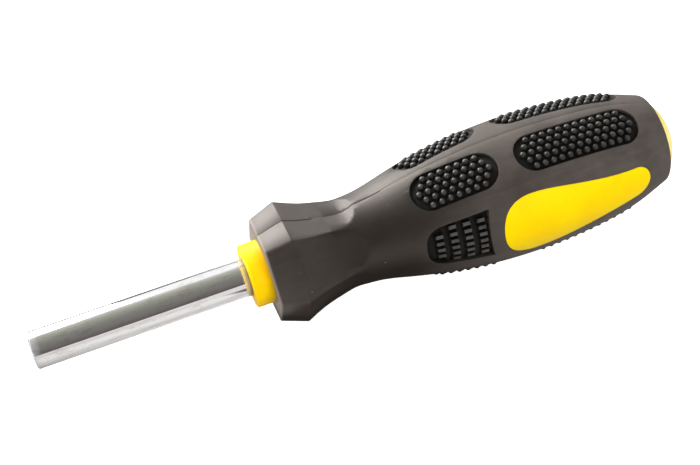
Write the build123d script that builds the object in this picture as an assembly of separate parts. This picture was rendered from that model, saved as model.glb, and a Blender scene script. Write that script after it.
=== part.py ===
from build123d import *
from math import cos, degrees, radians, sin, tan
import os

# Magnetic bit screwdriver, in millimetres
# The tool lies along X: the mouth of the shank is at the origin, the butt at +X, +Z up

# Shared fits and small sizes
seat_gap = 0.05            # between pieces that are moulded or pressed together
slide_gap = 0.08           # radial, round pieces that are pulled out by hand
overrun = 2.0              # how far cuts run past the surface they open
full_turn = 360
quarter_turn = 90
third_share = 1 / 3        # spacing of a curve's guide points
closeness_share = 0.00001  # of a curve, when a place on it is looked for

# Shank: chromed round steel with a hexagon socket in its mouth
shank_dia = 10.0
shank_reach = 57.4         # bare length, from the mouth to the collar
shank_seat = 42.0          # length held in the handle
shank_seat_dia = 9.4       # turned down there, so that a shoulder bears on the collar
mouth_chamfer = 0.45
hex_af = 6.35              # 1/4 in bit shank, across flats
socket_play = 0.10         # on each flat
socket_depth = 12.5
socket_lead = 0.4
magnet_dia = 6.0
magnet_length = 5.0
wing_span = 14.0           # pressed wings that carry the torque
wing_thickness = 3.2
wing_length = 9.0
wing_setback = 4.0         # from the inner end of the shank

# Bolster: a hexagon of rubber behind the yellow collar
collar_dia = 16.9
collar_length = 4.9
collar_edge = 0.35
face_corner_r = 14.2       # hexagon at the front face, to its corners
brow_corner_r = 16.8       # largest hexagon, to its corners
brow_length = 7.0          # front face to the largest hexagon
corner_blunt = 0.28        # taken off the hexagon's corners
flat_count = 6

# Outline of the grip: radii at distances from the mouth
throat_at = 75.6
throat_r = 14.05
neck_at = 80.2
neck_r = 12.85
waist_at = 86.0
waist_r = 11.9
flank_at = 98.0
flank_r = 13.9
front_at = 113.0
front_r = 16.9
belly_at = 134.0
belly_r = 18.4
hip_at = 149.0
hip_r = 17.6
heel_at = 162.0
heel_r = 15.5
tail_at = 171.5
tail_r = 12.35
rim_reach = 1.0            # tail to the end face of the grip
tail_round = 1.1

# Slopes of the outline where its curves start and end, radius lost per length
brow_slope_share = 0.38
tail_slope_share = 0.37

# Flats of the hexagon from the bolster on, and the slope that ends them at the waist
hollow_at = 75.6
hollow_r = 12.2            # heights above the axis
shallow_at = 80.2
shallow_r = 11.2
dip_at = 84.2
dip_r = 10.7
runout_at = 88.4
runout_r = 12.25

# Grip sleeve
sleeve_wall = 2.7

# Nub pads: rubber inserts with staggered round nubs, in long round-ended windows
pad_turns = (26, -26, 154, -154)
pad_width = 10.6
pad_gap = 0.1              # round an insert in its window
front_pad_at = 101.9
front_pad_length = 23.4
rear_pad_at = 130.15
rear_pad_length = 35.1
pad_sink = 0.9             # floor of the pad below the grip's surface
nub_dia = 1.75
nub_pitch = 2.35
row_pitch = 1.95
nub_proud = 0.45           # top of a nub above the grip's surface
nub_root = 0.5             # part of a nub below the pad's floor
front_rows = (7, 8, 9, 8, 7)
rear_rows = (12, 13, 14, 13, 12)

# Comb inserts: short fins in rows, with low cross bars between the rows
comb_turn = 83.5           # from the top to either side
comb_nose_at = 101.9
comb_cheek = 4.6           # half width where the nose's curve turns back
comb_cheek_at = 104.4
comb_side_at = 108.0
comb_side = 6.1
comb_tail_at = 119.3
comb_tail = 7.3
comb_bow = 0.9             # how far the tail edge is drawn in
comb_gap = 0.08
comb_floor_sink = 1.7
comb_bar_sink = 1.1
comb_bar_width = 1.2
comb_first_bar = 5.2       # nose to the middle of the first bar
comb_pitch = 3.7
comb_bars = 3
fin_sink = 0.35
fin_width = 0.95
fin_length = 1.9
fin_pitch = 2.05
fin_lean = 0.35            # how far a fin stands back from the middle of its row
fin_counts = (4, 6, 6, 6)

# Medallions: smooth yellow inlays, broad at the front and narrow at the rear
medal_turn = 86.7          # from the top to either side
medal_nose_at = 122.0
medal_cheek = 5.9          # half widths
medal_cheek_at = 125.2
medal_broad_at = 131.0
medal_broad = 9.0
medal_side_at = 138.5
medal_taper_at = 146.0
medal_taper = 6.4
medal_end_at = 164.8
medal_end_r = 4.6
medal_proud = 0.05
medal_gap = 0.08

# Cap: a yellow dome that closes the bit store
dome_r = 15.5
dome_apex_at = 177.0
dome_base_r = 11.0
cap_flange = 2.2           # part of the cap that is let into the grip's end
plug_length = 6.6
plug_wall = 1.6
plug_lead = 0.5
cap_crown = 4.0            # solid part under the dome's top

# Bit store: a rack in the core's bore holds spare bits by their hexagon ends
bit_length = 25.0
bit_count = 4
bit_play = 0.05            # on each flat of a bit in the rack
bit_hex_length = 12.0
bit_neck_dia = 4.6
bit_neck_length = 4.0
bit_tip_dia = 6.0
bit_edge = 0.35
rack_web = 0.5             # between two bits
rack_rim = 0.35            # outside the bits
rack_length = 10.0
rack_floor = 2.0
store_slack = 0.5          # between the bits and the cap's plug

# Working tips of the spare bits
cross_cone = 4.5           # length of a cross-recess tip's cone
cross_web = 1.1            # thickness of its blades
cross_root_dia = 3.0       # of the core between the blades
large_point_dia = 1.6
small_point_dia = 0.9
small_tip_dia = 4.6
blade_length = 6.0
blade_thickness = 0.8
wide_blade = 5.5
narrow_blade = 4.0

# Places that follow from the sizes above
shank_r = shank_dia / 2
shank_seat_r = shank_seat_dia / 2
shank_end = shank_reach + shank_seat
core_r = collar_dia / 2
face_at = shank_reach + collar_length
brow_at = face_at + brow_length
end_at = tail_at + rim_reach
core_end_at = end_at - cap_flange
reach_r = belly_r + sleeve_wall
flat_turn = full_turn / flat_count
hex_share = cos(radians(flat_turn / 2))
socket_af = hex_af + 2 * socket_play
pocket_af = hex_af + 2 * bit_play
bit_turn = full_turn / bit_count
bit_lean = (quarter_turn + bit_turn / 2) % flat_turn
bit_side = pocket_af / 2 / hex_share * cos(radians(flat_turn / 2 - bit_lean))
bit_circle = (bit_side + rack_web / 2) / sin(radians(bit_turn / 2))
pocket_half_flat = pocket_af / 2 * tan(radians(flat_turn / 2))
rack_r = ((bit_circle + pocket_af / 2) ** 2 + pocket_half_flat ** 2) ** 0.5 + rack_rim
store_r = rack_r + seat_gap
plug_r = store_r - slide_gap
bit_start_at = core_end_at - plug_length - store_slack - bit_length
store_at = bit_start_at - rack_floor


# Shared shapes

def about_axis(shape, turn):
    """The shape turned about the tool's axis; a quarter turn takes the top to -Y."""
    return Rot(X=turn) * shape


def spun(*edges):
    """A solid of revolution about the tool's axis; its seam runs along the top."""
    return about_axis(revolve(make_face(edges), Axis.X), quarter_turn)


def turned(*points):
    """A solid of revolution whose outline is straight between points (x, radius)."""
    return spun(Polyline(*points, close=True))


def round_bar(radius, start, end):
    """A round bar along the tool's axis."""
    return turned((start, 0), (start, radius), (end, radius), (end, 0))


def hexagon_bar(across_flats, start, end):
    """A hexagonal bar along the tool's axis, one flat up."""
    plane = Plane(origin=(start, 0, 0), x_dir=(0, 1, 0), z_dir=(1, 0, 0))
    outline = plane * RegularPolygon(across_flats / 2 / hex_share, flat_count)
    return extrude(outline, end - start)


def drawn_in(points, gap):
    """The points of an outline, moved in by a gap at its ends and sides."""
    ends = (min(at for at, across in points), max(at for at, across in points))
    middle = sum(ends) / 2
    length_share = 1 - 2 * gap / (ends[1] - ends[0])
    width_share = 1 - gap / max(across for at, across in points)
    return [(middle + (at - middle) * length_share, across * width_share) for at, across in points]


def insert_outline(points):
    """A face from a nose curve of four points, a side curve of three more, and a tail arc."""
    nose = Bezier(*points[:4])
    side = Bezier(*points[3:7])
    corner_at, corner = points[6]
    tail = ThreePointArc((corner_at, corner), points[7], (corner_at, -corner))
    return make_face([nose, side, tail, side.mirror(Plane.XZ), nose.mirror(Plane.XZ)])


# Grip surface

def grip_line(inward=0.0):
    """The grip's outline from the waist to the tail, drawn in by a depth."""
    spots = (
        (waist_at, waist_r),
        (flank_at, flank_r),
        (front_at, front_r),
        (belly_at, belly_r),
        (hip_at, hip_r),
        (heel_at, heel_r),
        (tail_at, tail_r),
    )
    points = [(at, radius - inward) for at, radius in spots]
    return Spline(*points, tangents=((1, 0), (1, -tail_slope_share)))


def grip_layer(inward, end=tail_at):
    """Everything inside the grip's outline drawn in by a depth, from the waist on."""
    line = grip_line(inward)
    ends = Polyline(line @ 1, (tail_at, 0), (waist_at, 0), line @ 0)
    layer = spun(line, ends)
    if end < tail_at:
        layer -= round_bar(reach_r, end, tail_at + overrun)
    return layer


surface_line = grip_line()


def surface_r(at):
    """The grip's radius at a distance from the mouth, found by halving."""
    low, high = 0.0, 1.0
    while high - low > closeness_share:
        middle = (low + high) / 2
        if (surface_line @ middle).X < at:
            low = middle
        else:
            high = middle
    return (surface_line @ low).Y


core_body = grip_layer(sleeve_wall, core_end_at)
sleeve_bed = grip_layer(sleeve_wall - seat_gap)
insert_bed = grip_layer(sleeve_wall - 2 * seat_gap)


def insert_layer(sink):
    """The space between the core and a depth below the grip's surface."""
    return grip_layer(sink) - insert_bed


# Shank and magnet

def make_shank():
    bar = turned(
        (0, 0),
        (0, shank_r - mouth_chamfer),
        (mouth_chamfer, shank_r),
        (shank_reach, shank_r),
        (shank_reach, shank_seat_r),
        (shank_end - mouth_chamfer, shank_seat_r),
        (shank_end, shank_seat_r - mouth_chamfer),
        (shank_end, 0),
    )
    wings = Pos(shank_end - wing_setback - wing_length / 2) * Box(wing_length, wing_span, wing_thickness)
    socket = hexagon_bar(socket_af, -overrun, socket_depth)
    lead_r = socket_af / 2 / hex_share + socket_lead / 2
    lead = turned((-overrun, 0), (-overrun, lead_r + overrun), (lead_r, 0))
    magnet_bore = round_bar(magnet_dia / 2 + seat_gap, 0, socket_depth + magnet_length + seat_gap)
    return bar + wings - socket - lead - magnet_bore


def make_magnet():
    return round_bar(magnet_dia / 2, socket_depth, socket_depth + magnet_length)


# Handle core

def make_core():
    nose = turned(
        (shank_reach, 0),
        (shank_reach, core_r - collar_edge),
        (shank_reach + collar_edge, core_r),
        (waist_at, core_r),
        (waist_at, 0),
    )
    shank_bore = round_bar(shank_seat_r + seat_gap, shank_reach - overrun, shank_end + seat_gap)
    wing_slot = Pos(shank_end - wing_setback - wing_length / 2) * Box(
        wing_length + 2 * seat_gap,
        wing_span + 2 * seat_gap,
        wing_thickness + 2 * seat_gap,
    )
    store = round_bar(store_r, store_at, core_end_at + overrun)
    return nose + core_body - shank_bore - wing_slot - store


# Grip sleeve

def bolster_cutter():
    """What is cut away above one flat of the bolster."""
    face_flat = face_corner_r * hex_share
    brow_flat = brow_corner_r * hex_share
    flat_slope = (brow_flat - face_flat) / brow_length
    front = Polyline(
        (runout_at, runout_r),
        (runout_at, reach_r),
        (face_at - overrun, reach_r),
        (face_at - overrun, face_flat - flat_slope * overrun),
        (brow_at, brow_flat),
    )
    hollow = Spline(
        (brow_at, brow_flat),
        (hollow_at, hollow_r),
        (shallow_at, shallow_r),
        (dip_at, dip_r),
        (runout_at, runout_r),
    )
    outline = Plane.XZ * make_face([front, hollow])
    return extrude(outline, reach_r, both=True)


def make_sleeve_blank():
    """The sleeve before its windows are cut."""
    line = grip_line()
    throat = Spline(
        (brow_at, brow_corner_r - corner_blunt),
        (throat_at, throat_r),
        (neck_at, neck_r),
        (waist_at, waist_r),
        tangents=((1, -brow_slope_share), (1, 0)),
    )
    front = Polyline(
        (waist_at, 0),
        (face_at, 0),
        (face_at, face_corner_r - corner_blunt),
        throat @ 0,
    )
    tail = Polyline(line @ 1, (end_at, tail_r - tail_slope_share * rim_reach), (end_at, 0), (waist_at, 0))
    blank = spun(front, throat, line, tail)
    rim = blank.edges().filter_by(GeomType.CIRCLE).sort_by(Axis.X)[-1]
    blank = fillet(rim, tail_round)
    cutter = bolster_cutter()
    for turn in range(flat_count):
        blank -= about_axis(cutter, turn * flat_turn)
    blank -= round_bar(core_r + seat_gap, face_at - overrun, waist_at + seat_gap)
    blank -= sleeve_bed
    return blank - round_bar(dome_base_r + slide_gap, core_end_at, end_at + overrun)


def make_sleeve():
    sleeve = make_sleeve_blank()
    for turn in pad_turns:
        sleeve -= about_axis(pad_prism(front_pad_at, front_pad_length, 0), turn)
        sleeve -= about_axis(pad_prism(rear_pad_at, rear_pad_length, 0), turn)
    for side in (1, -1):
        sleeve -= about_axis(extrude(comb_outline(), reach_r), side * comb_turn)
        sleeve -= about_axis(extrude(medal_outline(), reach_r), side * medal_turn)
    return sleeve


# Nub pads

def pad_prism(start, length, gap):
    """The round-ended column that a pad fills, upright over the axis."""
    outline = SlotOverall(length - 2 * gap, pad_width - 2 * gap)
    return extrude(Pos(start + length / 2) * outline, reach_r)


def make_nub():
    """One nub, upright on the origin: a short column with a round top."""
    nub_r = nub_dia / 2
    height = nub_root + pad_sink + nub_proud
    side = Polyline((0, height), (0, 0), (nub_r, 0), (nub_r, height - nub_r))
    top = RadiusArc((nub_r, height - nub_r), (0, height), -nub_r)
    return revolve(Plane.XZ * make_face([side, top]), Axis.Z)


def make_pad(start, length, rows):
    """A pad on top of the grip, its nubs in staggered rows."""
    base = insert_layer(pad_sink) & pad_prism(start, length, pad_gap)
    middle_at = start + length / 2
    nub = make_nub()
    height = nub_root + pad_sink + nub_proud
    nubs = []
    for row, count in enumerate(rows):
        across = (row - (len(rows) - 1) / 2) * row_pitch
        for place in range(count):
            at = middle_at + (place - (count - 1) / 2) * nub_pitch
            top_r = surface_r(at)
            turn = degrees(across / top_r)
            nubs.append(about_axis(Pos(at, 0, top_r + nub_proud - height) * nub, turn))
    return base + nubs


# Comb inserts

def comb_outline(gap=0.0):
    """Round nose, nearly straight sides and a drawn-in tail."""
    side_rise = (comb_tail - comb_side) * third_share
    side_step = (comb_tail_at - comb_side_at) * third_share
    points = (
        (comb_nose_at, 0),
        (comb_nose_at, comb_cheek),
        (comb_cheek_at, comb_side - side_rise),
        (comb_side_at, comb_side),
        (comb_side_at + side_step, comb_side + side_rise),
        (comb_tail_at - side_step, comb_tail - side_rise),
        (comb_tail_at, comb_tail),
        (comb_tail_at - comb_bow, 0),
    )
    return insert_outline(drawn_in(points, gap))


def comb_cells():
    """The spaces beside the bars, and the fins that stand in them, as upright boxes."""
    cells = []
    fins = []
    cell_length = comb_pitch - comb_bar_width
    for number, count in enumerate(fin_counts):
        at = comb_nose_at + comb_first_bar + (number - 0.5) * comb_pitch
        last = number == len(fin_counts) - 1
        length = cell_length + last * comb_pitch
        middle = Pos(at + last * comb_pitch / 2, 0, reach_r / 2)
        cells.append(middle * Box(length, 2 * reach_r, reach_r))
        fin = Pos(at + fin_lean, 0, reach_r / 2) * Box(fin_length, fin_width, reach_r + overrun)
        for place in range(count):
            across = (place - (count - 1) / 2) * fin_pitch
            fins.append(about_axis(fin, degrees(across / surface_r(at))))
    return cells, fins


def make_comb():
    column = extrude(comb_outline(comb_gap), reach_r)
    comb = insert_layer(comb_bar_sink) & column
    cells, fins = comb_cells()
    floor = grip_layer(comb_floor_sink)
    for cell in cells:
        comb -= cell - floor
    fin_height = insert_layer(fin_sink) & column
    return comb + [fin_height & fin for fin in fins]


# Medallions

def medal_outline(gap=0.0):
    """A broad round nose that narrows to a round end."""
    points = (
        (medal_nose_at, 0),
        (medal_nose_at, medal_cheek),
        (medal_cheek_at, medal_broad),
        (medal_broad_at, medal_broad),
        (medal_side_at, medal_broad),
        (medal_taper_at, medal_taper),
        (medal_end_at - medal_end_r, medal_end_r),
        (medal_end_at, 0),
    )
    return insert_outline(drawn_in(points, gap))


def make_medallion():
    return insert_layer(-medal_proud) & extrude(medal_outline(medal_gap), reach_r)


# Cap, rack and spare bits

def make_cap():
    dome_middle_at = dome_apex_at - dome_r
    base_at = dome_middle_at + (dome_r ** 2 - dome_base_r ** 2) ** 0.5
    plug_at = core_end_at - plug_length
    hollow_r = plug_r - plug_wall
    shoulder = Vector(base_at - dome_middle_at, dome_base_r)
    crest = Vector(dome_r, 0)
    halfway = (shoulder + crest).normalized() * dome_r
    side = Polyline(
        (dome_apex_at, 0),
        (dome_apex_at - cap_crown, 0),
        (dome_apex_at - cap_crown, hollow_r),
        (plug_at, hollow_r),
        (plug_at, plug_r - plug_lead),
        (plug_at + plug_lead, plug_r),
        (core_end_at + seat_gap, plug_r),
        (core_end_at + seat_gap, dome_base_r),
        (base_at, dome_base_r),
    )
    dome = ThreePointArc(
        (base_at, dome_base_r),
        (dome_middle_at + halfway.X, halfway.Y),
        (dome_apex_at, 0),
    )
    return spun(side, dome)


def bit_place(shape, number):
    """A shape on the tool's axis moved to one of the rack's places."""
    return about_axis(Pos(0, 0, bit_circle) * shape, (number + 0.5) * bit_turn)


def make_rack():
    rack = round_bar(rack_r, store_at + seat_gap, store_at + rack_length)
    pocket = hexagon_bar(pocket_af, bit_start_at - seat_gap, store_at + rack_length + overrun)
    return rack - [bit_place(pocket, number) for number in range(bit_count)]


def bit_blank(tip_dia, tip_length):
    """A bit's hexagon end and neck, up to where its tip starts."""
    neck_start = bit_start_at + bit_hex_length
    tip_start = neck_start + bit_neck_length
    tip_end = bit_start_at + bit_length - tip_length
    corner_r = hex_af / 2 / hex_share
    envelope = turned(
        (bit_start_at, 0),
        (bit_start_at, corner_r - bit_edge),
        (bit_start_at + bit_edge, corner_r),
        (neck_start - bit_edge, corner_r),
        (neck_start, corner_r - bit_edge),
        (neck_start, 0),
    )
    hexagon = hexagon_bar(hex_af, bit_start_at, neck_start) & envelope
    neck = round_bar(min(bit_neck_dia, tip_dia) / 2, neck_start, tip_start)
    return hexagon + neck + round_bar(tip_dia / 2, tip_start, tip_end)


def make_cross_bit(tip_dia, point_dia):
    end = bit_start_at + bit_length
    start = end - cross_cone
    cone = turned((start, 0), (start, tip_dia / 2), (end, point_dia / 2), (end, 0))
    root = turned((start, 0), (start, cross_root_dia / 2), (end, 0))
    middle = Pos((start + end) / 2)
    blades = middle * Box(cross_cone, tip_dia, cross_web) + middle * Box(cross_cone, cross_web, tip_dia)
    return bit_blank(tip_dia, cross_cone) + (cone & blades) + (root & cone)


def make_blade_bit(width):
    end = bit_start_at + bit_length
    start = end - blade_length
    wedge = Plane.XZ * make_face(Polyline(
        (start, bit_tip_dia / 2),
        (end, blade_thickness / 2),
        (end, -blade_thickness / 2),
        (start, -bit_tip_dia / 2),
        close=True,
    ))
    blade = extrude(wedge, width / 2, both=True) & round_bar(bit_tip_dia / 2, start, end)
    return bit_blank(bit_tip_dia, blade_length) + blade


# Nodes

front_pad = make_pad(front_pad_at, front_pad_length, front_rows)
rear_pad = make_pad(rear_pad_at, rear_pad_length, rear_rows)
comb = make_comb()
medallion = make_medallion()

nodes = {
    "shank": make_shank(),
    "socket_magnet": make_magnet(),
    "handle_core": make_core(),
    "grip_sleeve": make_sleeve(),
    "comb_near": about_axis(comb, comb_turn),
    "comb_far": about_axis(comb, -comb_turn),
    "medallion_near": about_axis(medallion, medal_turn),
    "medallion_far": about_axis(medallion, -medal_turn),
    "end_cap": make_cap(),
    "bit_rack": make_rack(),
    "bit_cross_large": bit_place(make_cross_bit(bit_tip_dia, large_point_dia), 0),
    "bit_cross_small": bit_place(make_cross_bit(small_tip_dia, small_point_dia), 1),
    "bit_blade_wide": bit_place(make_blade_bit(wide_blade), 2),
    "bit_blade_narrow": bit_place(make_blade_bit(narrow_blade), 3),
}
for number, turn in enumerate(pad_turns, start=1):
    nodes[f"front_pad_{number}"] = about_axis(front_pad, turn)
    nodes[f"rear_pad_{number}"] = about_axis(rear_pad, turn)

os.makedirs("parts", exist_ok=True)
for name, shape in nodes.items():
    export_step(shape.solid(), f"parts/{name}.step")
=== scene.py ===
import math
import bpy
from mathutils import Matrix, Vector


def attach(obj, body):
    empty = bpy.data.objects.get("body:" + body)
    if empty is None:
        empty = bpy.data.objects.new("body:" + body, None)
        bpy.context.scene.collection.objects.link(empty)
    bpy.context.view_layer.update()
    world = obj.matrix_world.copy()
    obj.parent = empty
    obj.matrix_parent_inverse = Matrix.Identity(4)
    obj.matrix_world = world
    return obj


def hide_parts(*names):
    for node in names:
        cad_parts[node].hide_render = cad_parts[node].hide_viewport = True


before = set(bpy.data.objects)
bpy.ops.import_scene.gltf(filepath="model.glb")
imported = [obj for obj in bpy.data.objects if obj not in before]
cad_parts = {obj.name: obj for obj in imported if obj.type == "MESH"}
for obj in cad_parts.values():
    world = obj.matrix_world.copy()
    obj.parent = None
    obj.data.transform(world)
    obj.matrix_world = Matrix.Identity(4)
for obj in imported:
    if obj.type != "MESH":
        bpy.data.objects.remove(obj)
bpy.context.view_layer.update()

mm = 0.001

# The tool lies along X: mouth of the shank at the origin, butt at +X, +Z up
print("frame loaded:", len(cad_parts), "nodes")


# Small helpers

def linearColour(hexColour):
    # sRGB hex to the linear values that shaders take
    channels = [int(hexColour[place:place + 2], 16) / 255 for place in (1, 3, 5)]
    linear = [c / 12.92 if c <= 0.04045 else ((c + 0.055) / 1.055) ** 2.4 for c in channels]
    return (*linear, 1.0)


def addNode(tree, kind, settings=None, links=None):
    # one shader node; a setting is an input socket's value, or else a property of the node.
    # The sockets of a Mix share their names, so they go by number: 0 is the share, 2 and 3
    # are numbers, 6 and 7 colours, and a mixed colour comes out of 2
    node = tree.nodes.new(kind)
    for name, value in (settings or {}).items():
        if isinstance(name, int) or name in node.inputs:
            node.inputs[name].default_value = value
        else:
            setattr(node, name, value)
    for socket, source in (links or {}).items():
        tree.links.new(source, node.inputs[socket])
    return node


def noiseOf(size, detail, roughness=0.5):
    # a noise's settings, from the size of its blotches
    return {"Scale": 1 / size, "Detail": detail, "Roughness": roughness}


def fromSpan(span):
    return {"From Min": span[0], "From Max": span[1]}


def toSpan(span):
    return {"To Min": span[0], "To Max": span[1]}


def rampStops(node, stops):
    # colour stops of a ramp, as (place, hex colour)
    ramp = node.color_ramp
    while len(ramp.elements) < len(stops):
        ramp.elements.new(1.0)
    for element, (place, colour) in zip(ramp.elements, stops):
        element.position = place
        element.color = linearColour(colour)


def newMaterial(name, settings):
    # a material with its shader, and object coordinates for its patterns
    material = bpy.data.materials.new(name)
    material.use_nodes = True
    tree = material.node_tree
    tree.nodes.clear()
    shader = addNode(tree, "ShaderNodeBsdfPrincipled", settings)
    addNode(tree, "ShaderNodeOutputMaterial", links={"Surface": shader.outputs[0]})
    coords = addNode(tree, "ShaderNodeTexCoord").outputs["Object"]
    return material, tree, shader, coords


def deselectAll():
    bpy.ops.object.select_all(action="DESELECT")


def activate(piece):
    deselectAll()
    piece.select_set(True)
    bpy.context.view_layer.objects.active = piece


meshCare = {
    "weld": 0.002 * mm,        # points this near are one
    "flat": 0.2,               # degrees, under which two faces are one
    "crisp": 32,               # degrees, over which an edge is softened
    "edgeSegments": 2,
    "smooth": 30,              # degrees, under which shading runs over an edge
}


def workCopy(nodeName, pieceName):
    # a node's shape as a mesh of its own, its loose triangles joined
    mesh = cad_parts[nodeName].data.copy()
    piece = bpy.data.objects.new(pieceName, mesh)
    bpy.context.scene.collection.objects.link(piece)
    mesh.name = pieceName
    mesh.materials.clear()
    activate(piece)
    bpy.ops.mesh.customdata_custom_splitnormals_clear()
    bpy.ops.object.mode_set(mode="EDIT")
    bpy.ops.mesh.select_all(action="SELECT")
    bpy.ops.mesh.remove_doubles(threshold=meshCare["weld"])
    bpy.ops.mesh.dissolve_limited(angle_limit=math.radians(meshCare["flat"]))
    bpy.ops.object.mode_set(mode="OBJECT")
    return piece


def softenEdges(piece, width):
    # rounds every crisp edge, as a moulding's edges are
    bevel = piece.modifiers.new("edges", "BEVEL")
    bevel.width = width
    bevel.segments = meshCare["edgeSegments"]
    bevel.limit_method = "ANGLE"
    bevel.angle_limit = math.radians(meshCare["crisp"])
    bevel.use_clamp_overlap = True
    activate(piece)
    bpy.ops.object.modifier_apply(modifier=bevel.name)


def smoothed(piece, angle):
    activate(piece)
    bpy.ops.object.shade_smooth_by_angle(angle=math.radians(angle))


def dressed(piece, material, body, nodeName):
    # its material and body, and hides the node it stands for
    piece.data.materials.clear()
    piece.data.materials.append(material)
    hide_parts(nodeName)
    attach(piece, body)


# Thermoplastic rubber, injection moulded and unpolished: matte, a warm dark grey that
# greys warmly at a glancing angle, with faint flow streaks along the pull and a little dust

gripRubber = {
    "name": "mouldedRubberGrip",
    "shader": {"IOR": 1.5, "Specular IOR Level": 1.0, "Specular Tint": linearColour("#FFF3E9")},
    "dark": "#0F0C0A",         # as moulded
    "light": "#1B1613",
    "paleDark": "#38322F",     # paler tone towards the butt
    "paleLight": "#4C4642",
    "toneSpan": (0.36, 0.64),  # of the patterns, where all is dark and where all is light
    "paleSpan": (96 * mm, 138 * mm),   # from the mouth: where the paler tone starts, and is full
    "noseSpan": (84 * mm, 71 * mm),    # paler at the bolster too, but less
    "noseShare": 0.32,
    "rim": "#716A64",
    "rimSpan": (62.8 * mm, 62.4 * mm), # painted highlight: the front face is painted paler, as lit from the front
    "rough": (0.46, 0.58),
    "wornRough": 0.20,         # handling scuffs it duller
    "blotch": (9 * mm, 3.0, 0.55),     # each pattern has its size, detail and roughness
    "streak": (1.6 * mm, 4.0, 0.6),
    "streakAlong": (0.12, 1.0, 1.0),   # drawn out along the pull
    "streakShare": 0.35,
    "dust": "#B9B1A6",
    "dustCell": 1.5 * mm,
    "dustSize": (0.02, 0.08),  # smallest and largest speck, of a cell
    "dustPatch": (14 * mm, 2.0),
    "dustShare": 0.43,         # of the strongest patch, below which a cell stays clean
    "grain": (0.28 * mm, 2.0), # coarser than the real grain, which is too fine to show
    "grainStrength": 0.5,
    "grainDepth": 0.018 * mm,
}


def makeGripRubber(look):
    material, tree, shader, coords = newMaterial(look["name"], look["shader"])
    blotch = addNode(tree, "ShaderNodeTexNoise", noiseOf(*look["blotch"]), {"Vector": coords})
    along = addNode(tree, "ShaderNodeMapping", {"Scale": look["streakAlong"]}, {"Vector": coords})
    streak = addNode(tree, "ShaderNodeTexNoise", noiseOf(*look["streak"]),
                     {"Vector": along.outputs[0]})
    tones = addNode(tree, "ShaderNodeMix", {"data_type": "FLOAT", 0: look["streakShare"]},
                    {2: blotch.outputs[0], 3: streak.outputs[0]})
    low, high = look["toneSpan"]
    baseTone = addNode(tree, "ShaderNodeValToRGB", links={0: tones.outputs[0]})
    rampStops(baseTone, [(low, look["dark"]), (high, look["light"])])
    paledTone = addNode(tree, "ShaderNodeValToRGB", links={0: tones.outputs[0]})
    rampStops(paledTone, [(low, look["paleDark"]), (high, look["paleLight"])])

    # how far it is paler, along the tool
    place = addNode(tree, "ShaderNodeSeparateXYZ", links={0: coords})
    towardButt = addNode(tree, "ShaderNodeMapRange", {
        "interpolation_type": "SMOOTHSTEP", **fromSpan(look["paleSpan"]),
    }, {0: place.outputs["X"]})
    nose = addNode(tree, "ShaderNodeMapRange", {
        "interpolation_type": "SMOOTHSTEP", **fromSpan(look["noseSpan"]),
        "To Max": look["noseShare"],
    }, {0: place.outputs["X"]})
    paler = addNode(tree, "ShaderNodeMath", {"operation": "MAXIMUM"},
                    {0: towardButt.outputs[0], 1: nose.outputs[0]})
    skin = addNode(tree, "ShaderNodeMix", {"data_type": "RGBA"},
                   {0: paler.outputs[0], 6: baseTone.outputs[0], 7: paledTone.outputs[0]})
    # painted highlight: the bolster's front face is painted paler
    rim = addNode(tree, "ShaderNodeMapRange", fromSpan(look["rimSpan"]), {0: place.outputs["X"]})
    rubber = addNode(tree, "ShaderNodeMix", {"data_type": "RGBA", 7: linearColour(look["rim"])},
                     {0: rim.outputs[0], 6: skin.outputs[2]})

    # specks of dust, in some of the cells and mostly in patches
    cells = addNode(tree, "ShaderNodeTexVoronoi", {"Scale": 1 / look["dustCell"]},
                    {"Vector": coords})
    pick = addNode(tree, "ShaderNodeSeparateColor", links={0: cells.outputs["Color"]})
    size = addNode(tree, "ShaderNodeMapRange", toSpan(look["dustSize"]), {0: pick.outputs[1]})
    near = addNode(tree, "ShaderNodeMath", {"operation": "LESS_THAN"},
                   {0: cells.outputs["Distance"], 1: size.outputs[0]})
    patch = addNode(tree, "ShaderNodeTexNoise", noiseOf(*look["dustPatch"]), {"Vector": coords})
    odds = addNode(tree, "ShaderNodeMath", {"operation": "MULTIPLY"},
                   {0: pick.outputs[0], 1: patch.outputs[0]})
    chosen = addNode(tree, "ShaderNodeMath", {"operation": "GREATER_THAN", 1: look["dustShare"]},
                     {0: odds.outputs[0]})
    speck = addNode(tree, "ShaderNodeMath", {"operation": "MULTIPLY"},
                    {0: near.outputs[0], 1: chosen.outputs[0]})
    dusty = addNode(tree, "ShaderNodeMix", {"data_type": "RGBA", 7: linearColour(look["dust"])},
                    {0: speck.outputs[0], 6: rubber.outputs[2]})
    tree.links.new(dusty.outputs[2], shader.inputs["Base Color"])

    rough = addNode(tree, "ShaderNodeMapRange", toSpan(look["rough"]), {0: tones.outputs[0]})
    scuffed = addNode(tree, "ShaderNodeMath", {"operation": "MULTIPLY_ADD", 1: look["wornRough"]},
                      {0: towardButt.outputs[0], 2: rough.outputs[0]})
    tree.links.new(scuffed.outputs[0], shader.inputs["Roughness"])
    grain = addNode(tree, "ShaderNodeTexNoise", noiseOf(*look["grain"]), {"Vector": coords})
    bump = addNode(tree, "ShaderNodeBump", {
        "Strength": look["grainStrength"], "Distance": look["grainDepth"],
    }, {"Height": grain.outputs[0]})
    tree.links.new(bump.outputs[0], shader.inputs["Normal"])
    return material


# The inserts' rubber: the same family, with painted shade: black on the floor between
# the nubs and fins, and greyer up to their tops

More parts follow.
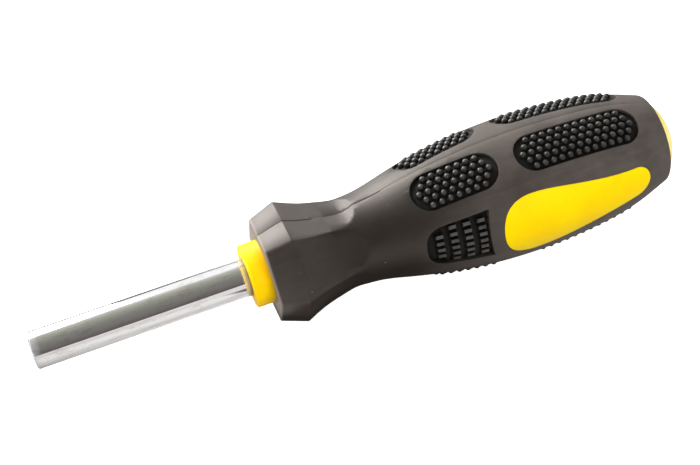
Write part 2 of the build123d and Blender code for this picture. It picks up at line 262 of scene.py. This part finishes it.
insertRubber = {
    "name": "mouldedRubberInsert",
    "shader": {"IOR": 1.5, "Specular IOR Level": 0.7},
    "stops": (                 # painted shade, from the floor to the nubs' tops
        (0.0, "#050404"), (0.40, "#080706"), (0.65, "#12100F"), (0.87, "#211E1C"),
        (1.0, "#3A3633"),
    ),
    "shadeDepths": (-0.95 * mm, 0.45 * mm), # floor and tops, from the grip's surface
    "bellyAt": 134 * mm,       # the grip's outline here: a parabola about its belly
    "belly": 18.4 * mm,
    "bow": 3.5,                # per metre
    "rough": (0.85, 0.34),     # floor, and the tops that handling has polished
    "tone": (2.2 * mm, 4.0),
    "toneDepths": (-0.35 * mm, 0.35 * mm),     # how far the tone shifts the stops
    "grain": (0.35 * mm, 2.0), # coarser than the real grain, as on the grip
    "grainStrength": 0.4,
    "grainDepth": 0.012 * mm,
}
combRubber = {
    **insertRubber,
    "name": "mouldedRubberComb",
    "stops": ((0.0, "#050404"), (0.55, "#080706"), (0.85, "#2B2825"), (1.0, "#3D3834")),
    "shadeDepths": (-0.95 * mm, -0.30 * mm),        # its fins stay below the grip's surface
}


def makeInsertRubber(look):
    material, tree, shader, coords = newMaterial(look["name"], look["shader"])

    # height over the grip's bowed outline: radius + bow * (x - bellyAt)^2 - belly
    place = addNode(tree, "ShaderNodeSeparateXYZ", links={0: coords})
    across = addNode(tree, "ShaderNodeVectorMath", {"operation": "MULTIPLY", 1: (0.0, 1.0, 1.0)},
                     {0: coords})
    radius = addNode(tree, "ShaderNodeVectorMath", {"operation": "LENGTH"},
                     {0: across.outputs[0]})
    fromBelly = addNode(tree, "ShaderNodeMath", {"operation": "SUBTRACT", 1: look["bellyAt"]},
                        {0: place.outputs["X"]})
    square = addNode(tree, "ShaderNodeMath", {"operation": "MULTIPLY"},
                     {0: fromBelly.outputs[0], 1: fromBelly.outputs[0]})
    bowed = addNode(tree, "ShaderNodeMath", {
        "operation": "MULTIPLY_ADD", 1: look["bow"], 2: -look["belly"],
    }, {0: square.outputs[0]})
    height = addNode(tree, "ShaderNodeMath", {"operation": "ADD"},
                     {0: radius.outputs["Value"], 1: bowed.outputs[0]})

    tone = addNode(tree, "ShaderNodeTexNoise", noiseOf(*look["tone"]), {"Vector": coords})
    uneven = addNode(tree, "ShaderNodeMapRange", toSpan(look["toneDepths"]), {0: tone.outputs[0]})
    level = addNode(tree, "ShaderNodeMath", {"operation": "ADD"},
                    {0: height.outputs[0], 1: uneven.outputs[0]})
    # painted shade: the deeper a point lies, the darker its colour
    share = addNode(tree, "ShaderNodeMapRange", fromSpan(look["shadeDepths"]), {0: level.outputs[0]})
    colour = addNode(tree, "ShaderNodeValToRGB", links={0: share.outputs[0]})
    rampStops(colour, look["stops"])
    tree.links.new(colour.outputs[0], shader.inputs["Base Color"])
    rough = addNode(tree, "ShaderNodeMapRange", toSpan(look["rough"]), {0: share.outputs[0]})
    tree.links.new(rough.outputs[0], shader.inputs["Roughness"])
    grain = addNode(tree, "ShaderNodeTexNoise", noiseOf(*look["grain"]), {"Vector": coords})
    bump = addNode(tree, "ShaderNodeBump", {
        "Strength": look["grainStrength"], "Distance": look["grainDepth"],
    }, {"Height": grain.outputs[0]})
    tree.links.new(bump.outputs[0], shader.inputs["Normal"])
    return material


# Bright chrome plate on turned and polished steel: a clear mirror with hairline polishing
# marks round the bar, scuffs and smudges that blur it in places, and a dull film of grime
# at both ends, where it isn't wiped; by the collar the film is also painted shade

chromePlate = {
    "name": "chromePlatedSteel",
    "shader": {"Specular IOR Level": 0.3},     # the film's own gloss
    "base": "#FAFAFB",
    "smudge": "#DED8D5",
    "smudgeSpan": (0.50, 0.68),        # of the wear, where smudges start and are full
    "patch": (5 * mm, 6.0, 0.7),       # each pattern has its size, detail and roughness
    "scuff": (0.9 * mm, 6.0, 0.7),
    "scuffAlong": (0.22, 1.0, 1.0),
    "scuffShare": 0.6,
    "wearSpan": (0.45, 0.70),
    "rough": (0.04, 0.17),
    "grime": "#7C8188",
    "collarSpan": (56.8 * mm, 58.6 * mm),      # from the mouth: the film by the collar, grime and painted shade
    "mouthSpan": (3.6 * mm, 0.4 * mm),         # and a thinner one at the mouth
    "mouthShare": 0.5,
    "grimeReach": 2.4 * mm,    # how far the scuffs make its edge ragged
    "grimeMetal": 0.12,        # how much of the plate still shines through
    "grimeRough": 0.25,
    "hairline": (0.12 * mm, 3.0),      # coarser than real polishing marks, to show at all
    "hairlineRound": (1.0, 0.03, 0.03),
    "hairlineStrength": 0.12,
    "hairlineDepth": 0.004 * mm,
}


def makeChrome(look):
    material, tree, shader, coords = newMaterial(look["name"], look["shader"])
    patch = addNode(tree, "ShaderNodeTexNoise", noiseOf(*look["patch"]), {"Vector": coords})
    along = addNode(tree, "ShaderNodeMapping", {"Scale": look["scuffAlong"]}, {"Vector": coords})
    scuff = addNode(tree, "ShaderNodeTexNoise", noiseOf(*look["scuff"]),
                    {"Vector": along.outputs[0]})
    wear = addNode(tree, "ShaderNodeMix", {"data_type": "FLOAT", 0: look["scuffShare"]},
                   {2: patch.outputs[0], 3: scuff.outputs[0]})
    smudge = addNode(tree, "ShaderNodeMapRange", fromSpan(look["smudgeSpan"]),
                     {0: wear.outputs[0]})
    colour = addNode(tree, "ShaderNodeMix", {
        "data_type": "RGBA", 6: linearColour(look["base"]), 7: linearColour(look["smudge"]),
    }, {0: smudge.outputs[0]})

    # the film: grey, less metallic and rougher; by the collar also painted shade
    place = addNode(tree, "ShaderNodeSeparateXYZ", links={0: coords})
    ragged = addNode(tree, "ShaderNodeMath", {"operation": "MULTIPLY_ADD", 1: look["grimeReach"]},
                     {0: scuff.outputs[0], 2: place.outputs["X"]})
    grimeAndShadeByCollar = addNode(tree, "ShaderNodeMapRange", fromSpan(look["collarSpan"]),
                       {0: ragged.outputs[0]})
    byMouth = addNode(tree, "ShaderNodeMapRange", {
        **fromSpan(look["mouthSpan"]), "To Max": look["mouthShare"],
    }, {0: ragged.outputs[0]})
    dull = addNode(tree, "ShaderNodeMath", {"operation": "MAXIMUM"},
                   {0: grimeAndShadeByCollar.outputs[0], 1: byMouth.outputs[0]})
    bare = addNode(tree, "ShaderNodeMapRange", toSpan((1.0, look["grimeMetal"])),
                   {0: dull.outputs[0]})
    tree.links.new(bare.outputs[0], shader.inputs["Metallic"])
    grimy = addNode(tree, "ShaderNodeMix", {"data_type": "RGBA", 7: linearColour(look["grime"])},
                    {0: dull.outputs[0], 6: colour.outputs[2]})
    tree.links.new(grimy.outputs[2], shader.inputs["Base Color"])
    rough = addNode(tree, "ShaderNodeMapRange", {
        **fromSpan(look["wearSpan"]), **toSpan(look["rough"]),
    }, {0: wear.outputs[0]})
    rougher = addNode(tree, "ShaderNodeMath", {
        "operation": "MULTIPLY_ADD", 1: look["grimeRough"],
    }, {0: dull.outputs[0], 2: rough.outputs[0]})
    tree.links.new(rougher.outputs[0], shader.inputs["Roughness"])

    around = addNode(tree, "ShaderNodeMapping", {"Scale": look["hairlineRound"]},
                     {"Vector": coords})
    hairs = addNode(tree, "ShaderNodeTexNoise", noiseOf(*look["hairline"]),
                    {"Vector": around.outputs[0]})
    bump = addNode(tree, "ShaderNodeBump", {
        "Strength": look["hairlineStrength"], "Distance": look["hairlineDepth"],
    }, {"Height": hairs.outputs[0]})
    tree.links.new(bump.outputs[0], shader.inputs["Normal"])
    return material


# Polypropylene, injection moulded: saturated yellow with a soft half gloss, light that
# spreads a little under the surface, and a faint orange peel
yellowPlastic = {
    "name": "mouldedPolypropyleneYellow",
    "shader": {
        "IOR": 1.49, "Specular IOR Level": 0.2, "Subsurface Weight": 0.35,
        "Subsurface Radius": (1.0, 0.65, 0.12), "Subsurface Scale": 1.2 * mm,
    },
    "deep": "#FFC000",
    "pale": "#FFCE00",
    "toneSpan": (0.3, 0.7),    # of the tone, where all is deep and where all is pale
    "rough": (0.42, 0.52),
    "tone": (7 * mm, 3.0),
    "grain": (0.6 * mm, 2.0),
    "grainStrength": 0.3,
    "grainDepth": 0.01 * mm,
}
inlayPlastic = {
    **yellowPlastic,
    "name": "mouldedInlayYellow",
    "shader": {**yellowPlastic["shader"], "Subsurface Weight": 0.25},
    "deep": "#FFD000",
    "pale": "#FFDA00",
    "rough": (0.40, 0.50),
}
# The cap: the same yellow, but paler and more translucent
capPlastic = {
    **yellowPlastic,
    "name": "mouldedPolypropylenePale",
    "shader": {**yellowPlastic["shader"], "Subsurface Weight": 0.6},
    "deep": "#FFDA66",
    "pale": "#FFE590",
    "rough": (0.34, 0.44),
}
# Hardened tool steel, bead blasted: satin grey, a little darker in patches
bitSteel = {
    "name": "blastedToolSteel",
    "shader": {"Metallic": 1.0},
    "deep": "#77777A",
    "pale": "#9A9A9C",
    "toneSpan": (0.3, 0.7),
    "rough": (0.34, 0.48),
    "tone": (1.5 * mm, 5.0),
    "grain": (0.15 * mm, 2.0), # coarser than blasted grit, which is too fine to show
    "grainStrength": 0.5,
    "grainDepth": 0.01 * mm,
}
# Nickel plate on a sintered magnet: warmer and duller than the chrome round it, and smooth
magnetNickel = {
    "name": "nickelPlatedMagnet",
    "shader": {"Metallic": 1.0},
    "deep": "#A69E90",
    "pale": "#C9C2B4",
    "toneSpan": (0.3, 0.7),
    "rough": (0.22, 0.36),
    "tone": (1.0 * mm, 4.0),
}
# Acrylonitrile butadiene styrene for the rack: dark grey, fine spark-eroded grain
rackPlastic = {
    "name": "mouldedAbsGrey",
    "shader": {"IOR": 1.54},
    "deep": "#2F2F31",
    "pale": "#3B3B3D",
    "toneSpan": (0.3, 0.7),
    "rough": (0.45, 0.6),
    "tone": (4 * mm, 3.0),
    "grain": (0.2 * mm, 2.0),
    "grainStrength": 0.5,
    "grainDepth": 0.012 * mm,
}


def makeEvenFinish(look):
    # a tone that drifts between two colours, with the gloss following it, and a grain
    material, tree, shader, coords = newMaterial(look["name"], look["shader"])
    tone = addNode(tree, "ShaderNodeTexNoise", noiseOf(*look["tone"]), {"Vector": coords})
    low, high = look["toneSpan"]
    colour = addNode(tree, "ShaderNodeValToRGB", links={0: tone.outputs[0]})
    rampStops(colour, [(low, look["deep"]), (high, look["pale"])])
    tree.links.new(colour.outputs[0], shader.inputs["Base Color"])
    rough = addNode(tree, "ShaderNodeMapRange", toSpan(look["rough"]), {0: tone.outputs[0]})
    tree.links.new(rough.outputs[0], shader.inputs["Roughness"])
    if "grain" in look:
        grain = addNode(tree, "ShaderNodeTexNoise", noiseOf(*look["grain"]), {"Vector": coords})
        bump = addNode(tree, "ShaderNodeBump", {
            "Strength": look["grainStrength"], "Distance": look["grainDepth"],
        }, {"Height": grain.outputs[0]})
        tree.links.new(bump.outputs[0], shader.inputs["Normal"])
    return material


gripMaterial = makeGripRubber(gripRubber)
insertMaterial = makeInsertRubber(insertRubber)
combMaterial = makeInsertRubber(combRubber)
chromeMaterial = makeChrome(chromePlate)
yellowMaterial = makeEvenFinish(yellowPlastic)
inlayMaterial = makeEvenFinish(inlayPlastic)
capMaterial = makeEvenFinish(capPlastic)
bitMaterial = makeEvenFinish(bitSteel)
nickelMaterial = makeEvenFinish(magnetNickel)
rackMaterial = makeEvenFinish(rackPlastic)
print("materials made")


# Grip sleeve: softened edges and the mould's parting line, deep at the bolster and faint
# elsewhere

sleeveLook = {
    "edge": 0.22 * mm,
    "smooth": 32,              # degrees
    "lineHalf": 0.2 * mm,      # half width of the parting line's groove
    "lineCatch": 0.01 * mm,    # a point this near the line is on it
    "lineFrom": 62.3 * mm,
    "lineRuns": (              # where each run ends, and its depth as a share of the radius
        (69.3 * mm, 0.008),
        (76.4 * mm, 0.018),
        (79.6 * mm, 0.003),
        (97.0 * mm, 0.010),
        (128.0 * mm, 0.004),
        (172.5 * mm, 0.005),
    ),
}


def cutPlane(place, normal):
    # new edges where a plane crosses the mesh in edit mode
    bpy.ops.mesh.select_all(action="SELECT")
    bpy.ops.mesh.bisect(plane_co=place, plane_no=normal)


def selectOutside(piece, test):
    # picks the outer skin's points that pass a test, and leaves edit mode open
    bpy.ops.object.mode_set(mode="OBJECT")
    for part in (piece.data.polygons, piece.data.edges, piece.data.vertices):
        for item in part:
            item.select = False
    for point in piece.data.vertices:
        away = Vector((0, point.co.y, point.co.z))
        if point.normal.dot(away) > 0 and test(point.co):
            point.select = True
    bpy.ops.object.mode_set(mode="EDIT")
    bpy.context.tool_settings.mesh_select_mode = (True, False, False)


def makeSleeve(look):
    sleeve = workCopy("grip_sleeve", "gripSleeve")
    softenEdges(sleeve, look["edge"])
    activate(sleeve)
    bpy.ops.object.mode_set(mode="EDIT")
    for side in (-1, 0, 1):
        cutPlane((0, side * look["lineHalf"], 0), (0, 1, 0))
    for end, depth in look["lineRuns"]:
        cutPlane((end, 0, 0), (1, 0, 0))
    catch = look["lineCatch"]
    start = look["lineFrom"] - catch
    for end, depth in look["lineRuns"]:
        selectOutside(sleeve, lambda spot: abs(spot.y) < catch and start < spot.x < end)
        bpy.ops.transform.resize(value=(1, 1, 1 - depth), center_override=(0, 0, 0))
        start = end
    bpy.ops.object.mode_set(mode="OBJECT")
    smoothed(sleeve, look["smooth"])
    dressed(sleeve, gripMaterial, "handle", "grip_sleeve")


makeSleeve(sleeveLook)
print("sleeve made")


# Other mouldings and the shank: copies of the nodes with softened edges, as the piece's
# name, material, slot and edge

pieceLooks = {
    "handle_core": ("handleCore", yellowMaterial, "yellow_polypropylene", 0.18 * mm),
    "medallion_near": ("medallionNear", inlayMaterial, "yellow_inlay", 0.2 * mm),
    "medallion_far": ("medallionFar", inlayMaterial, "yellow_inlay", 0.2 * mm),
    "comb_near": ("combNear", combMaterial, "black_insert_rubber", 0.12 * mm),
    "comb_far": ("combFar", combMaterial, "black_insert_rubber", 0.12 * mm),
    "shank": ("shankBar", chromeMaterial, "chromed_steel", 0.10 * mm),
}
for node, (name, material, slot, edge) in pieceLooks.items():
    piece = workCopy(node, name)
    softenEdges(piece, edge)
    smoothed(piece, meshCare["smooth"])
    dressed(piece, material, "handle", node)

# Nodes whose shape is right as it is
keptLooks = {
    "end_cap": capMaterial,
    "socket_magnet": nickelMaterial,
    "bit_rack": rackMaterial,
}
for tip in ("cross_large", "cross_small", "blade_wide", "blade_narrow"):
    keptLooks["bit_" + tip] = bitMaterial
for number in (1, 2, 3, 4):
    keptLooks["front_pad_%d" % number] = insertMaterial
    keptLooks["rear_pad_%d" % number] = insertMaterial
for node, material in keptLooks.items():
    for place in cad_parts[node].material_slots:
        place.material = material
print("pieces made")


# Table, light and camera. Polished steel and the rubber's sheen show a drawn table and
# room, in tones that the lamps don't change

studio = {
    "target": (0.088, 0.0, 0.0),       # where the lamps point
    "restSpots": ((69.3 * mm, -14.4 * mm), (137.0 * mm, -18.45 * mm)),   # on the table
    "tableSize": 6.0,
    "table": "#F2F2F0",
    "tableGlow": 0.72,         # whitens it for the camera only
    "tableBounce": "#2C2B2A",  # what it throws back on the object
    "mirrorSpan": (-0.06, 0.10),       # across the table, from in front to behind
    "tableMirror": (
        (0.0, "#D8D6D4"), (0.075, "#E2E0DE"), (0.19, "#ECEAE8"), (0.25, "#EAE8E6"),
        (0.28, "#DEDCDA"), (0.31, "#CBC9C7"), (0.34, "#D6D4D2"), (0.365, "#F2F0EE"),
        # painted shadow: the dark last stops are the tool's shadow on the table behind it, seen
        # in reflections
        (0.41, "#FFFFFF"), (0.47, "#FFFFFF"), (0.65, "#FFFFFF"), (0.68, "#4A464A"),
        (1.0, "#4A464A"),
    ),
    "gripMirror": (            # the same where the bolster darkens the table
        (0.0, "#E2E0DE"), (0.10, "#E2E0DE"), (0.20, "#5A534E"), (0.58, "#5A534E"),
        (0.66, "#FFFFFF"),
    ),
    "gripRange": (-0.03, 0.06),        # along the table, the reach of that
    "gripShare": (
        (0.0, "#000000"), (0.04, "#000000"), (0.08, "#FFFFFF"), (0.45, "#FFFFFF"),
        (0.85, "#000000"),
    ),
    "contactTone": "#4A443F",
    "contactReach": (6 * mm, 10.5 * mm),   # nearer than this, a surface sees its own shadow
    "roomMirror": (            # from the horizon in front over the top to behind
        (0.0, "#ECEAE8"), (0.015, "#ECEAE8"), (0.04, "#605654"), (0.11, "#6A6462"),
        (0.17, "#736F6D"), (0.27, "#787873"), (0.38, "#84847D"), (0.51, "#9B9B8E"),
        (0.60, "#B2B2AA"), (0.655, "#C8C8C2"), (0.71, "#FFFFFF"), (0.968, "#FFFFFF"),
        # painted shadow: the dark last stops, low down behind, are the tool's shadow there, seen
        # in reflections
        (0.982, "#4A464A"), (1.0, "#4A464A"),
    ),
    "whiteStrength": 1.0,      # at which white renders white
    "skyLight": 0.42,
    "lamps": {                 # place, size, strength, and whether polished steel shows it
        "backLamp": ((-0.26, 0.78, 0.66), (0.85, 0.5), 12.0, True),
        "rearLamp": ((0.62, 0.72, 0.40), (0.5, 0.4), 1.0, True),
        "lowLamp": ((-0.36, 0.92, 0.14), (0.9, 0.24), 8.0, True),
        "sideLamp": ((0.28, -0.90, 0.38), (0.6, 0.6), 7.5, False),
        "buttLamp": ((0.94, 0.04, 0.20), (0.5, 0.4), 3.5, False),
        "frontLamp": ((-0.84, -0.12, 0.12), (0.5, 0.4), 12.0, False),
    },
}
pureWhite = (1, 1, 1, 1)


def mirrorTones(tree):
    # what glossy rays see of the table: bands across it, the dark by the bolster, and a
    # surface's own shadow close to it
    coords = addNode(tree, "ShaderNodeTexCoord").outputs["Object"]
    spot = addNode(tree, "ShaderNodeSeparateXYZ", links={0: coords})
    depth = addNode(tree, "ShaderNodeMapRange", fromSpan(studio["mirrorSpan"]),
                    {0: spot.outputs["Y"]})
    openTone = addNode(tree, "ShaderNodeValToRGB", links={0: depth.outputs[0]})
    rampStops(openTone, studio["tableMirror"])
    byGrip = addNode(tree, "ShaderNodeValToRGB", links={0: depth.outputs[0]})
    rampStops(byGrip, studio["gripMirror"])
    along = addNode(tree, "ShaderNodeMapRange", fromSpan(studio["gripRange"]),
                    {0: spot.outputs["X"]})
    under = addNode(tree, "ShaderNodeValToRGB", links={0: along.outputs[0]})
    rampStops(under, studio["gripShare"])
    tones = addNode(tree, "ShaderNodeMix", {"data_type": "RGBA"},
                    {0: under.outputs[0], 6: openTone.outputs[0], 7: byGrip.outputs[0]})
    path = addNode(tree, "ShaderNodeLightPath")
    clear = addNode(tree, "ShaderNodeMapRange", fromSpan(studio["contactReach"]),
                    {0: path.outputs["Ray Length"]})
    shaded = addNode(tree, "ShaderNodeMix", {
        "data_type": "RGBA", 6: linearColour(studio["contactTone"]),
    }, {0: clear.outputs[0], 7: tones.outputs[2]})
    return shaded.outputs[2]


def makeTable():
    # under the tool as it lies, so it tilts with the line from bolster to belly
    (frontAt, frontZ), (backAt, backZ) = studio["restSpots"]
    tilt = math.atan2(frontZ - backZ, backAt - frontAt)
    middle = studio["target"][0]
    height = frontZ + math.tan(tilt) * (frontAt - middle)
    deselectAll()
    bpy.ops.mesh.primitive_plane_add(size=studio["tableSize"], location=(middle, 0, height),
                                     rotation=(0, tilt, 0))
    table = bpy.context.active_object
    table.name = "studioTable"
    material = bpy.data.materials.new("matteWhiteTable")
    material.use_nodes = True
    tree = material.node_tree
    tree.nodes.clear()
    paint = addNode(tree, "ShaderNodeBsdfDiffuse", {"Color": linearColour(studio["table"])})
    glow = addNode(tree, "ShaderNodeEmission", {
        "Color": pureWhite, "Strength": studio["tableGlow"],
    })
    lifted = addNode(tree, "ShaderNodeAddShader", links={0: paint.outputs[0], 1: glow.outputs[0]})
    bounce = addNode(tree, "ShaderNodeBsdfDiffuse", {
        "Color": linearColour(studio["tableBounce"]),
    })
    mirror = addNode(tree, "ShaderNodeEmission", {"Strength": studio["whiteStrength"]},
                     {"Color": mirrorTones(tree)})
    path = addNode(tree, "ShaderNodeLightPath")
    seen = addNode(tree, "ShaderNodeMath", {"operation": "MAXIMUM"},
                   {0: path.outputs["Is Camera Ray"], 1: path.outputs["Is Transmission Ray"]})
    shown = addNode(tree, "ShaderNodeMixShader",
                    links={0: seen.outputs[0], 1: bounce.outputs[0], 2: lifted.outputs[0]})
    mixed = addNode(tree, "ShaderNodeMixShader", links={
        0: path.outputs["Is Glossy Ray"], 1: shown.outputs[0], 2: mirror.outputs[0],
    })
    addNode(tree, "ShaderNodeOutputMaterial", links={"Surface": mixed.outputs[0]})
    table.data.materials.append(material)


def makeSky():
    # white to the camera, soft grey light on the object, and for mirrors a studio that is
    # bright behind the tool, dark overhead and in front, and pale low down
    world = bpy.data.worlds.new("studioSky")
    bpy.context.scene.world = world
    world.use_nodes = True
    tree = world.node_tree
    tree.nodes.clear()
    toward = addNode(tree, "ShaderNodeTexCoord").outputs["Generated"]
    parts = addNode(tree, "ShaderNodeSeparateXYZ", links={0: toward})
    front = addNode(tree, "ShaderNodeMath", {"operation": "MULTIPLY", 1: -1.0},
                    {0: parts.outputs["Y"]})
    height = addNode(tree, "ShaderNodeMath", {"operation": "ARCTAN2"},
                     {0: parts.outputs["Z"], 1: front.outputs[0]})
    share = addNode(tree, "ShaderNodeMath", {"operation": "DIVIDE", 1: math.pi},
                    {0: height.outputs[0]})
    room = addNode(tree, "ShaderNodeValToRGB", links={0: share.outputs[0]})
    rampStops(room, studio["roomMirror"])
    roomLight = addNode(tree, "ShaderNodeBackground", {"Strength": studio["whiteStrength"]},
                        {"Color": room.outputs[0]})
    soft = addNode(tree, "ShaderNodeBackground", {
        "Color": pureWhite, "Strength": studio["skyLight"],
    })
    white = addNode(tree, "ShaderNodeBackground", {
        "Color": pureWhite, "Strength": studio["whiteStrength"],
    })
    path = addNode(tree, "ShaderNodeLightPath")
    glossy = addNode(tree, "ShaderNodeMixShader", links={
        0: path.outputs["Is Glossy Ray"], 1: soft.outputs[0], 2: roomLight.outputs[0],
    })
    seen = addNode(tree, "ShaderNodeMath", {"operation": "MAXIMUM"},
                   {0: path.outputs["Is Camera Ray"], 1: path.outputs["Is Transmission Ray"]})
    final = addNode(tree, "ShaderNodeMixShader",
                    links={0: seen.outputs[0], 1: glossy.outputs[0], 2: white.outputs[0]})
    addNode(tree, "ShaderNodeOutputWorld", links={"Surface": final.outputs[0]})


def addLamp(name, place, size, strength, mirrored):
    # an area lamp of that radiance, facing the tool
    data = bpy.data.lights.new(name, "AREA")
    data.shape = "RECTANGLE"
    data.size, data.size_y = size
    data.energy = strength * math.pi * size[0] * size[1]
    lamp = bpy.data.objects.new(name, data)
    bpy.context.scene.collection.objects.link(lamp)
    lamp.location = place
    aim = Vector(studio["target"]) - Vector(place)
    lamp.rotation_euler = aim.to_track_quat("-Z", "Y").to_euler()
    lamp.visible_glossy = mirrored


makeTable()
makeSky()
for lampName, lampSettings in studio["lamps"].items():
    addLamp(lampName, *lampSettings)

cameraView = {
    "azimuth": -12.7,          # degrees, from the -Y side towards the shank
    "elevation": 42.1,
    "roll": -10.4,
    "target": (0.0862, 0.0, 0.003),
    "distance": 0.4145,
    "lens": 82.3,
    "sensor": 36,              # its width, in millimetres as the lens is
    "near": 0.01,
}


def placeCamera(view):
    az, el, roll = (math.radians(view[name]) for name in ("azimuth", "elevation", "roll"))
    back = Vector((math.sin(az) * math.cos(el), -math.cos(az) * math.cos(el), math.sin(el)))
    side = Vector((0, 0, 1)).cross(back).normalized()
    up = back.cross(side)
    right = side * math.cos(roll) + up * math.sin(roll)
    top = up * math.cos(roll) - side * math.sin(roll)
    data = bpy.data.cameras.new("photoCamera")
    data.lens = view["lens"]
    data.sensor_width = view["sensor"]
    data.clip_start = view["near"]
    camera = bpy.data.objects.new("photoCamera", data)
    bpy.context.scene.collection.objects.link(camera)
    place = Vector(view["target"]) + back * view["distance"]
    turn = Matrix((right, top, back)).transposed().to_4x4()
    camera.matrix_world = Matrix.Translation(place) @ turn
    bpy.context.scene.camera = camera


placeCamera(cameraView)
bpy.context.scene.view_settings.view_transform = "Standard"
print("stage and camera set")
